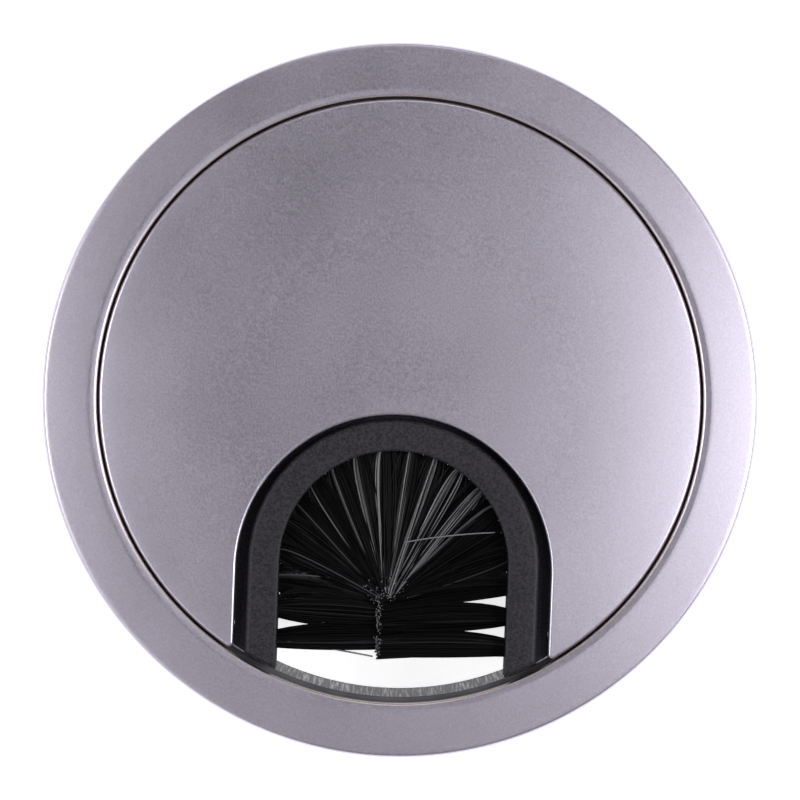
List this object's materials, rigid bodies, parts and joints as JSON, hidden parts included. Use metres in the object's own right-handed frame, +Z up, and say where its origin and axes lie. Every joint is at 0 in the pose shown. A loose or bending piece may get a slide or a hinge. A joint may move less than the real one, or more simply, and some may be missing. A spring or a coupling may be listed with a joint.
{
  "type": "cable grommet",
  "caption": "Round metal desk cable grommet: a flanged ring for a hole in a desk top, with a drop-in cover whose U-shaped notch is closed by a black brush that cables pass through.",
  "frame": {"origin": "centre of the flange's underside, on the axis of the desk hole and in the plane of the desk top", "axes": "+Z up out of the desk along the hole's axis; the cable notch opens towards -Y; +X to the right"},
  "size_m": [0.09, 0.09, 0.0206],
  "materials": {
    "satin_metal": "satin plated zinc casting, fine even grain, slightly violet grey",
    "holder_plastic": "finely textured black moulding",
    "strip_plastic": "smooth black extrusion",
    "bristle_nylon": "glossy black filament",
    "anchor_wire": "flat drawn wire"
  },
  "bodies": {
    "root": {"frame_ring": "satin_metal", "cover": "satin_metal", "brush_holder": "holder_plastic", "brush_strip": "strip_plastic", "tuft_anchors": "anchor_wire", "bristle_tuft_01": "bristle_nylon", "bristle_tuft_02": "bristle_nylon", "bristle_tuft_03": "bristle_nylon", "bristle_tuft_04": "bristle_nylon", "bristle_tuft_05": "bristle_nylon", "bristle_tuft_06": "bristle_nylon", "bristle_tuft_07": "bristle_nylon", "bristle_tuft_08": "bristle_nylon", "bristle_tuft_09": "bristle_nylon", "bristle_tuft_10": "bristle_nylon", "bristle_tuft_11": "bristle_nylon", "bristle_tuft_12": "bristle_nylon", "bristle_tuft_13": "bristle_nylon", "bristle_tuft_14": "bristle_nylon", "bristle_tuft_15": "bristle_nylon", "bristle_tuft_16": "bristle_nylon", "bristle_tuft_17": "bristle_nylon", "bristle_tuft_18": "bristle_nylon", "bristle_tuft_19": "bristle_nylon", "bristle_tuft_20": "bristle_nylon"}
  },
  "joints": []
}
